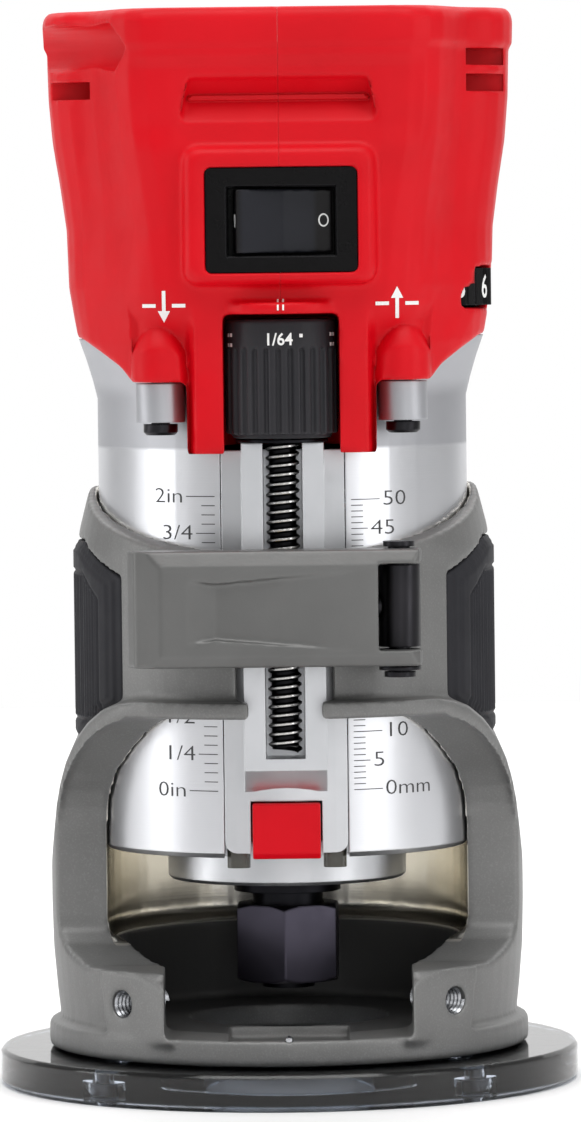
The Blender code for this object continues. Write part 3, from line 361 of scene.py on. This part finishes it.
FINISHES = {
    "red": ("housing_left", "housing_right"),
    "casting": ("base_casting",),
    "lever": ("clamp_lever",),
    "barrel": ("motor_barrel",),
    "aluminium": ("front_track", "end_cap", "bearing_carrier"),
    "rubber": ("grip_left", "grip_right"),
    "clear": ("sub_base",),
    "black": ("switch_bezel", "switch_module", "speed_dial", "terminal_block", "cooling_fan"),
    "rocker": ("switch_rocker",),
    "knob": ("depth_knob",),
    "oxide": ("collet_nut",),
    "neck": ("spindle_shaft", "collet", "dust_slinger", "screw_bush", "tie_bolt_nut"),
    "screw": ("lead_screw", "tie_bolt", "pivot_washer", "lever_pivot_pin", "lock_pin",
              "barrel_screw_left", "barrel_screw_right", "housing_screw_1", "housing_screw_2",
              "housing_screw_3", "sub_base_screw_1", "sub_base_screw_2", "sub_base_screw_3",
              "sub_base_screw_4"),
    "steel": ("upper_bearing", "lower_bearing", "index_pin", "lock_spring"),
    "brass": ("half_nut",),
    "laminated": ("stator_core", "rotor_core"),
    "button": ("lock_button",),
    "board": ("control_board", "led_board"),
    "blue": ("speed_potentiometer",),
    "copper": ("stator_windings",),
    "lens": ("led_lens_left", "led_lens_right"),
}


def smooth(piece, angle=32.0):
    """Shades a faceted mesh as the curved surface it stands for, and keeps its real edges sharp."""
    for polygon in piece.data.polygons:
        polygon.use_smooth = True
    weld = piece.modifiers.new("weld", "WELD")
    weld.merge_threshold = 1e-6
    split = piece.modifiers.new("split", "EDGE_SPLIT")
    split.split_angle = math.radians(angle)
    piece.modifiers.new("normals", "WEIGHTED_NORMAL").keep_sharp = True


def dress_nodes():
    done = set()
    for key, names in FINISHES.items():
        for name in names:
            node = NODES[name]
            for slot in node.material_slots:
                slot.material = MATERIALS[key]
            smooth(node)
            done.add(name)
    missed = set(NODES) - done
    if missed:
        raise ValueError(f"no finish for {sorted(missed)}")


dress_nodes()


# ---------------------------------------------------------------- pieces

def piece_of(name, mesh, material, body):
    made = bpy.data.objects.new(name, mesh)
    bpy.context.scene.collection.objects.link(made)
    mesh.materials.clear()
    mesh.materials.append(MATERIALS[material])
    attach(made, body)
    return made


def eased(value, low, high):
    """0 below low, 1 above high and a smooth rise between."""
    share = min(1.0, max(0.0, (value - low) / (high - low)))
    return share * share * (3 - 2 * share)


def cylinder(start, end, radius, end_radius=None, segments=40):
    """A closed cylinder or cone between two points in millimetres, as a mesh."""
    start, end = Vector(start) * MM, Vector(end) * MM
    turn = (end - start).to_track_quat("Z", "Y").to_matrix().to_4x4()
    bm = bmesh.new()
    bmesh.ops.create_cone(bm, cap_ends=True, segments=segments, radius1=radius * MM,
                          radius2=(radius if end_radius is None else end_radius) * MM,
                          depth=(end - start).length, matrix=Matrix.Translation((start + end) / 2) @ turn)
    return mesh_of(bm, "cylinder")


def block(low, high):
    """A closed box between two corners in millimetres, as a mesh."""
    bm = bmesh.new()
    size = [(b - a) * MM for a, b in zip(low, high)]
    middle = [(a + b) / 2 * MM for a, b in zip(low, high)]
    bmesh.ops.create_cube(bm, size=1.0, matrix=Matrix.Translation(middle) @ Matrix.Diagonal((*size, 1)))
    return mesh_of(bm, "block")


def mesh_of(bm, name):
    mesh = bpy.data.meshes.new(name)
    bm.to_mesh(mesh)
    bm.free()
    return mesh


def through(mesh, *steps):
    """The mesh after some modifiers, each given as (kind, settings, tool mesh or None)."""
    carrier = bpy.data.objects.new("carrier", mesh)
    bpy.context.scene.collection.objects.link(carrier)
    tools = []
    for kind, settings, tool in steps:
        step = carrier.modifiers.new(kind.lower(), kind)
        for key, value in settings.items():
            setattr(step, key, value)
        if tool:
            step.object = bpy.data.objects.new("tool", tool)
            bpy.context.scene.collection.objects.link(step.object)
            tools.append(step.object)
    bpy.context.view_layer.update()
    made = bpy.data.meshes.new_from_object(carrier.evaluated_get(bpy.context.evaluated_depsgraph_get()))
    for used in (carrier, *tools):
        data = used.data
        bpy.data.objects.remove(used)
        bpy.data.meshes.remove(data)
    return made


def fine_copy(nodes, voxel, rounds, carve=None, plugs=()):
    """One finer mesh of some CAD pieces with the small radii that moulding and casting leave.
    Plugs fill openings that are cut again later with crisp edges. Carve moves a point, in
    millimetres, by the offset that it returns."""
    work = bmesh.new()
    for node in nodes:
        work.from_mesh(NODES[node].data)
    bmesh.ops.remove_doubles(work, verts=work.verts, dist=1e-6)
    for plug in plugs:
        work.from_mesh(plug)
        bpy.data.meshes.remove(plug)
    fine = through(mesh_of(work, "coarse"),
                   ("REMESH", {"mode": "VOXEL", "voxel_size": voxel * MM}, None),
                   ("SMOOTH", {"factor": 0.5, "iterations": rounds}, None))
    if carve:
        for vert, normal in [(v, v.normal.copy()) for v in fine.vertices]:
            moved = carve(vert.co / MM, normal)
            if moved is not None:
                vert.co += moved * MM
    return fine


def stand_in(mesh, node, material, body):
    """Makes a mesh the piece that is seen in place of a CAD piece."""
    mesh.shade_smooth()
    mesh.set_sharp_from_angle(angle=math.radians(40))
    made = piece_of(f"{node}_fine", mesh, material, body)
    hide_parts(node)
    return made


def softened(node, voxel, rounds, material, body, carve=None):
    return stand_in(fine_copy([node], voxel, rounds, carve), node, material, body)


def cutter(mesh, operation="DIFFERENCE"):
    return ("BOOLEAN", {"operation": operation, "solver": "EXACT"}, mesh)


def prism_of(bm, outline, thickness):
    """Adds a thin plate with this outline in X and Z, its back on Y = 0 and its front at -thickness."""
    back = [bm.verts.new((x, 0.0, z)) for x, z in outline]
    front = [bm.verts.new((x, -thickness, z)) for x, z in outline]
    bm.faces.new(back)
    bm.faces.new(front[::-1])
    for i in range(len(outline)):
        j = (i + 1) % len(outline)
        bm.faces.new((back[j], back[i], front[i], front[j]))


def text_into(bm, body, size, x, z, align="CENTER", squeeze=1.0, offset=0.0):
    """Adds raised generic characters, in metres, lying in the plane of X and Z and facing the front."""
    curve = bpy.data.curves.new("characters", "FONT")
    curve.body = body
    curve.size = size
    curve.extrude = 0.03 * MM
    curve.offset = offset
    curve.align_x = align
    curve.align_y = "CENTER"
    curve.resolution_u = 3
    carrier = bpy.data.objects.new("characters", curve)
    bpy.context.scene.collection.objects.link(carrier)
    bpy.context.view_layer.update()
    mesh = bpy.data.meshes.new_from_object(carrier.evaluated_get(bpy.context.evaluated_depsgraph_get()))
    place = (Matrix.Translation((x, 0, z)) @ Matrix.Rotation(math.pi / 2, 4, "X")
             @ Matrix.Diagonal((squeeze, 1, 1, 1)))
    mesh.transform(place)
    bm.from_mesh(mesh)
    bpy.data.objects.remove(carrier)
    bpy.data.curves.remove(curve)
    bpy.data.meshes.remove(mesh)


def finish_marks(bm, name, material, body, wrap):
    """Lays flat marks on a surface: wrap turns (x, depth, z) into a point of the row frame."""
    longest = 0.9 * MM
    for _ in range(4):
        long_edges = [e for e in bm.edges if e.calc_length() > longest]
        if not long_edges:
            break
        bmesh.ops.subdivide_edges(bm, edges=long_edges, cuts=1)
    for vert in bm.verts:
        vert.co = wrap(*vert.co)
    bmesh.ops.remove_doubles(bm, verts=bm.verts, dist=1e-7)
    bmesh.ops.recalc_face_normals(bm, faces=bm.faces)
    mesh = bpy.data.meshes.new(name)
    bm.to_mesh(mesh)
    bm.free()
    return piece_of(name, mesh, material, body)


def round_wrap(radius, centre=(0.0, 0.0)):
    """Wraps marks round a vertical cylinder, from the front."""
    def place(x, y, z):
        reach = radius - y
        angle = x / radius
        return Vector((centre[0] + reach * math.sin(angle), centre[1] - reach * math.cos(angle), z))
    return place


def barrel_scales():
    """Depth scales: sixteenths of an inch at the left and millimetres at the right."""
    zero, inch, start, line = 53.2 * MM, 25.4 * MM, 12.0 * MM, 0.15 * MM
    size, wide, thin = 3.7 * MM, 1.42, -0.045 * MM
    bm = bmesh.new()

    def tick(side, z, length):
        low, high = sorted((side * start, side * (start + length)))
        prism_of(bm, ((low, z - line / 2), (high, z - line / 2), (high, z + line / 2), (low, z + line / 2)),
                 0.03 * MM)

    names = ("0in", "1/4", "1/2", "3/4", "1in", "1/4", "1/2", "3/4", "2in")
    for step in range(33):
        length = 5.5 * MM if step % 16 == 0 else 3.6 * MM if step % 4 == 0 else 2.5 * MM
        z = zero + step * inch / 16
        tick(-1, z, length)
        if step % 4 == 0:
            text_into(bm, names[step // 4], size, -(start + length + 0.5 * MM), z, "RIGHT",
                      squeeze=wide, offset=thin)
    for step in range(51):
        length = 5.5 * MM if step % 10 == 0 else 3.1 * MM if step % 5 == 0 else 2.2 * MM
        z = zero + step * MM
        tick(1, z, length)
        if step % 5 == 0:
            text_into(bm, "0mm" if step == 0 else str(step), size, start + length + 0.5 * MM, z, "LEFT",
                      squeeze=wide, offset=thin)
    finish_marks(bm, "barrel_scales", "dark_ink", "motor", round_wrap(BARREL_RADIUS))


def lead_screw_thread():
    """The real thread of the depth screw, replacing the plain rod that collides in its place."""
    low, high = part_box("lead_screw")
    centre = ((low.x + high.x) / 2, SCREW_AXIS_Y)
    pitch, root, crest, around = 1.5875 * MM, 2.3 * MM, 2.88 * MM, 28
    profile = ((0.0, root), (0.18, root), (0.42, crest), (0.62, crest), (0.86, root))
    top = high.z
    turns = int((high.z - low.z) / pitch)
    bm = bmesh.new()
    rings = []
    for step in range(turns * around + 1):
        angle = step / around * 2 * math.pi
        base = low.z + 0.3 * MM + step / around * pitch
        ring = []
        for share, radius in profile:
            z = min(base + share * pitch, top)
            taper = min(1.0, (z - low.z) / (1.2 * pitch) + 0.72)
            ring.append(bm.verts.new((centre[0] + radius * taper * math.cos(angle),
                                      centre[1] + radius * taper * math.sin(angle), z)))
        rings.append(ring)
    for before, after in zip(rings, rings[1:]):
        for i in range(len(profile) - 1):
            bm.faces.new((before[i], after[i], after[i + 1], before[i + 1]))
    for step in range(len(rings) - around):
        bm.faces.new((rings[step][-1], rings[step + 1][-1],
                      rings[step + around + 1][0], rings[step + around][0])
                     if step + around + 1 < len(rings) else
                     (rings[step][-1], rings[step + 1][-1], rings[step + around][0]))
    bmesh.ops.recalc_face_normals(bm, faces=bm.faces)
    mesh = bpy.data.meshes.new("depth_screw_thread")
    bm.to_mesh(mesh)
    bm.free()
    made = piece_of("depth_screw_thread", mesh, "thread", "depth_screw")
    smooth(made, 40)
    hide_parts("lead_screw")
    return made


def carve_head(at, normal):
    """A shallow dish round the finger recess, and a valley round each screw column."""
    if normal.y > -0.3:
        return None
    across = abs(at.x)
    if at.z < 139.5 and 14.4 < across < 30:
        reach = 4.9 * min(1.0, max(0.0, 134.4 - at.z) / 6.0) ** 0.5
        column = -33.4 - math.sqrt(max(0.0, reach * reach - (across - 20.8) ** 2))
        valley = 2.9 * eased(137.4 - at.z, 0, 7) * eased(across, 14.6, 16.2) * eased(30 - across, 0, 3)
        return Vector((0, max(0.0, min(at.y + valley, column) - at.y), 0))
    if at.y > -38.5:
        return None
    dish = (eased(27 - across, 0, 5) * eased(179.6 - at.z, 0, 2.5) * eased(at.z, 162.5, 168))
    return Vector((0, 0.75 * dish, 0)) if dish else None


def corner_cuts(side):
    """The vents and the hook socket at the head's top corners, cut again where smoothing has blurred them."""
    if side == "right":
        return [cutter(block((32.3, -60, low), (38.9, -20.9, high)))
                for low, high in ((177.6, 180.5), (173.1, 176.1))]
    along, end = Vector((-0.615, 0.788, 0)), Vector((-28.6, -37.8, 181))
    socket = cylinder(end, end + 30 * along, 4.25)
    point = cylinder(end + 0.1 * along, end - 3.8 * along, 4.25, 0.4)
    return [cutter(block((-60, -60, 172.4), (-32.3, -20.9, 175.4))), cutter(socket), cutter(point)]


def head_shells():
    """Both shells are smoothed as one, so that they meet in a clean seam, and are then cut apart."""
    whole = fine_copy(["housing_left", "housing_right"], 0.5, 4, carve_head)
    made = []
    for side, low, high in (("left", -60, -0.01), ("right", 0.01, 60)):
        half = through(whole.copy(), cutter(block((low, -70, 90), (high, 70, 200)), "INTERSECT"),
                       *corner_cuts(side))
        made.append(stand_in(half, f"housing_{side}", "red", "motor"))
    bpy.data.meshes.remove(whole)
    return made


def casting_piece():
    """The casting, with its bead hole and guide holes cut crisply after smoothing."""
    turns = [math.radians(-90 + GUIDE_TURN * side) for side in (-1, 1)]
    ways = [Vector((math.cos(t), math.sin(t), 0)) for t in turns]
    up = Vector((0, 0, GUIDE_HEIGHT))
    plugs = [cylinder(way * 36 + up, way * 41.2 + up, 3.0) for way in ways]
    plugs.append(cylinder((0, -41.1, 8.0), (0, -41.1, 11.0), 1.2))
    fine = fine_copy(["base_casting"], 0.55, 4, plugs=plugs)
    holes = [cutter(cylinder(way * 26 + up, way * 46 + up, 2.45)) for way in ways]
    holes.append(cutter(cylinder((0, -41.1, 8.6), (0, -41.1, 13.0), 0.85)))
    return stand_in(through(fine, *holes), "base_casting", "casting", "base")


def guide_threads():
    """Bright steel thread inserts in the two guide holes."""
    for side, name in ((-1, "guide_thread_left"), (1, "guide_thread_right")):
        turn = (Matrix.Rotation(math.radians(-90 + GUIDE_TURN * side), 4, "Z")
                @ Matrix.Translation((0, 0, GUIDE_HEIGHT * MM)))
        bm = bmesh.new()
        around, pitch, turns = 32, 0.9, 9
        profile = ((0.0, 2.42), (0.38, 2.05), (0.52, 2.05), (0.9, 2.42))
        rows = []
        for step in range(around * turns + 1):
            angle = math.tau * step / around
            rows.append([bm.verts.new(turn @ Vector((
                (32.6 + pitch * step / around + along) * MM, radius * math.cos(angle) * MM,
                radius * math.sin(angle) * MM))) for along, radius in profile])
        for before, after in zip(rows, rows[1:]):
            for i in range(len(profile) - 1):
                bm.faces.new((before[i], before[i + 1], after[i + 1], after[i]))
        bmesh.ops.recalc_face_normals(bm, faces=bm.faces)
        smooth(piece_of(name, mesh_of(bm, name), "steel", "base"), 40)


def carve_grip(at, normal):
    """A raised field with an outline groove and fine upright ribs."""
    radius = math.hypot(at.x, at.y)
    if radius < 36.2:
        return None
    side = abs(at.y) - 17.6 + max(0.0, at.z - 86.0) * 1.4
    edge = max(side, at.z - 90.4, 64.5 - at.z)
    groove = 0.45 * max(0.0, 1.0 - abs(edge) / 0.55)
    rib = 0.0
    if edge < -0.8:
        rib = 0.16 + 0.16 * math.cos(math.atan2(at.y, at.x) * radius * math.tau / 1.25)
    inward = -(groove + rib) / radius
    return Vector((at.x * inward, at.y * inward, 0))


def on_surface(pieces, lift):
    """Projects marks from the front onto these pieces, raised by lift."""
    trees = [BVHTree.FromPolygons([v.co for v in p.data.vertices], [f.vertices[:] for f in p.data.polygons])
             for p in pieces]

    def place(x, y, z):
        hits = [tree.ray_cast(Vector((x, -0.2, z)), Vector((0, 1, 0)))[0] for tree in trees]
        depth = min((hit.y for hit in hits if hit), default=-0.04)
        return Vector((x, depth - lift + y, z))
    return place


def bar(bm, x, z, width, height):
    prism_of(bm, ((x - width / 2, z - height / 2), (x + width / 2, z - height / 2),
                  (x + width / 2, z + height / 2), (x - width / 2, z + height / 2)), 0.05 * MM)


def depth_icons(shells):
    """An arrow and a surface line at each side of the knob, and the double index line above it."""
    bm = bmesh.new()
    for x, way in ((-19.9 * MM, -1), (19.9 * MM, 1)):
        z = 136.9 * MM
        for side in (-1, 1):
            bar(bm, x + side * 2.55 * MM, z, 2.3 * MM, 0.62 * MM)
        bar(bm, x, z - way * 0.75 * MM, 0.62 * MM, 3.6 * MM)
        tip, base = z + way * 2.9 * MM, z + way * 0.9 * MM
        head = [(x - 1.05 * MM, base), (x + 1.05 * MM, base), (x, tip)]
        prism_of(bm, head if way > 0 else head[::-1], 0.05 * MM)
    for x in (-0.45 * MM, 0.45 * MM):
        bar(bm, x, 136.9 * MM, 0.3 * MM, 1.9 * MM)
    finish_marks(bm, "depth_icons", "white_ink", "motor", on_surface(shells, 0.05 * MM))


def knob_marks():
    """Numbers and dots on the knob's smooth band."""
    bm = bmesh.new()
    z = 130.9 * MM
    text_into(bm, "1/64", 2.9 * MM, -0.4 * MM, z, "CENTER", squeeze=0.95, offset=0.05 * MM)
    bar(bm, 3.5 * MM, z + 0.7 * MM, 0.6 * MM, 0.6 * MM)
    for x in (-11.5, -10.4, 10.4, 11.5, 22.0, 23.1):
        for level in (-0.85, 0.85):
            bar(bm, x * MM, z + level * MM, 0.6 * MM, 0.6 * MM)
    finish_marks(bm, "knob_marks", "white_ink", "depth_screw",
                 round_wrap(KNOB_RADIUS, (0.0, SCREW_AXIS_Y)))


def rocker_marks(rocker):
    """A stroke for on and a ring for off."""
    bm = bmesh.new()
    level, centre, around = 151.2 * MM, 7.5 * MM, 24
    bar(bm, -7.6 * MM, level, 0.22 * MM, 2.2 * MM)
    ring = [(centre + 0.9 * MM * math.cos(math.tau * i / around),
             level + 1.15 * MM * math.sin(math.tau * i / around)) for i in range(around)]
    hole = [(centre + (x - centre) * 0.72, level + (z - level) * 0.76) for x, z in ring]
    for i in range(around):
        j = (i + 1) % around
        prism_of(bm, (ring[i], ring[j], hole[j], hole[i]), 0.05 * MM)
    finish_marks(bm, "rocker_marks", "white_ink", "rocker", on_surface([rocker], 0.03 * MM))


def dial_marks():
    """Speed numbers round the dial's rim."""
    bm = bmesh.new()
    for number in range(1, 7):
        x = DIAL_RADIUS * math.radians(64 - (6 - number) * 29)
        text_into(bm, str(number), 5.6 * MM, x, 139.3 * MM, "CENTER", squeeze=0.85, offset=0.05 * MM)
    finish_marks(bm, "dial_marks", "white_ink", "dial", round_wrap(DIAL_RADIUS, DIAL_CENTRE))


shells = head_shells()
casting_piece()
guide_threads()
softened("clamp_lever", 0.32, 3, "lever", "lever")
for side in ("left", "right"):
    softened(f"grip_{side}", 0.34, 2, "rubber", "base", carve_grip)
softened("lock_button", 0.25, 2, "button", "lock")
rocker = softened("switch_rocker", 0.25, 4, "rocker", "rocker")
softened("depth_knob", 0.26, 1, "knob", "depth_screw")
barrel_scales()
lead_screw_thread()
depth_icons(shells)
knob_marks()
rocker_marks(rocker)
dial_marks()


# ---------------------------------------------------------------- camera, light and floor

def add_camera():
    data = bpy.data.cameras.new("camera")
    data.sensor_fit = "VERTICAL"
    data.sensor_height = 36.0
    data.lens = 218.5
    data.clip_start = 0.05
    camera = bpy.data.objects.new("camera", data)
    bpy.context.scene.collection.objects.link(camera)
    camera.location = (0.001, -1.2, 0.145)
    aim = Vector((0.0012, 0.0, 0.0914))
    look = (aim - camera.location).to_track_quat("-Z", "Y").to_matrix()
    camera.rotation_euler = (look @ Matrix.Rotation(math.radians(-0.68), 3, "Z")).to_euler()
    bpy.context.scene.camera = camera


def add_light(name, place, aim, size, power, colour=(1, 1, 1)):
    data = bpy.data.lights.new(name, "AREA")
    data.shape = "RECTANGLE"
    data.size, data.size_y = size
    data.energy = power
    data.color = colour
    light = bpy.data.objects.new(name, data)
    bpy.context.scene.collection.objects.link(light)
    light.location = place
    light.rotation_euler = (Vector(aim) - Vector(place)).to_track_quat("-Z", "Y").to_euler()


def add_floor():
    """A pale round floor with nothing upright on it, so that every view is clear."""
    radius, around = 1.0, 96
    bm = bmesh.new()
    turns = [math.tau * i / around for i in range(around)]
    bm.faces.new([bm.verts.new((radius * math.cos(t), radius * math.sin(t), 0)) for t in turns])
    mesh = mesh_of(bm, "floor")
    made = Nodes("floor")
    made.set(Base_Color=made.mixed(made.noise(6.0, 2.0), srgb(250, 250, 250), srgb(247, 247, 247)),
             Roughness=0.6)
    mesh.materials.append(made.material)
    floor = bpy.data.objects.new("floor", mesh)
    bpy.context.scene.collection.objects.link(floor)


def add_studio():
    world = bpy.data.worlds.new("studio")
    bpy.context.scene.world = world
    world.use_nodes = True
    # The room is a dim grey for the light it gives, and white where it is seen.
    background = world.node_tree.nodes["Background"]
    background.inputs["Color"].default_value = (1, 1, 1, 1)
    seen = world.node_tree.nodes.new("ShaderNodeLightPath")
    strength = world.node_tree.nodes.new("ShaderNodeMapRange")
    strength.inputs["To Min"].default_value = 0.42
    strength.inputs["To Max"].default_value = 1.0
    world.node_tree.links.new(seen.outputs["Is Camera Ray"], strength.inputs["Value"])
    world.node_tree.links.new(strength.outputs["Result"], background.inputs["Strength"])
    add_light("top_front", (0.0, -0.45, 1.35), (0, 0, 0.1), (1.4, 0.8), 13)
    add_light("front", (0.35, -1.9, 0.55), (0, 0, 0.1), (0.7, 0.7), 3.4)
    add_light("left", (-1.15, -0.12, 0.35), (0, 0, 0.1), (0.5, 1.1), 4.5)
    add_light("right", (0.95, -0.62, 0.35), (0, 0, 0.1), (0.4, 1.1), 3.6)
    add_light("back_top", (0.0, 0.95, 1.2), (0, 0.75, 0), (2.0, 0.6), 14)
    add_light("back", (0.0, 1.6, 0.5), (0, 0, 0.1), (3.0, 1.0), 6.5)


add_camera()
add_floor()
add_studio()
bpy.context.scene.view_settings.view_transform = "Standard"
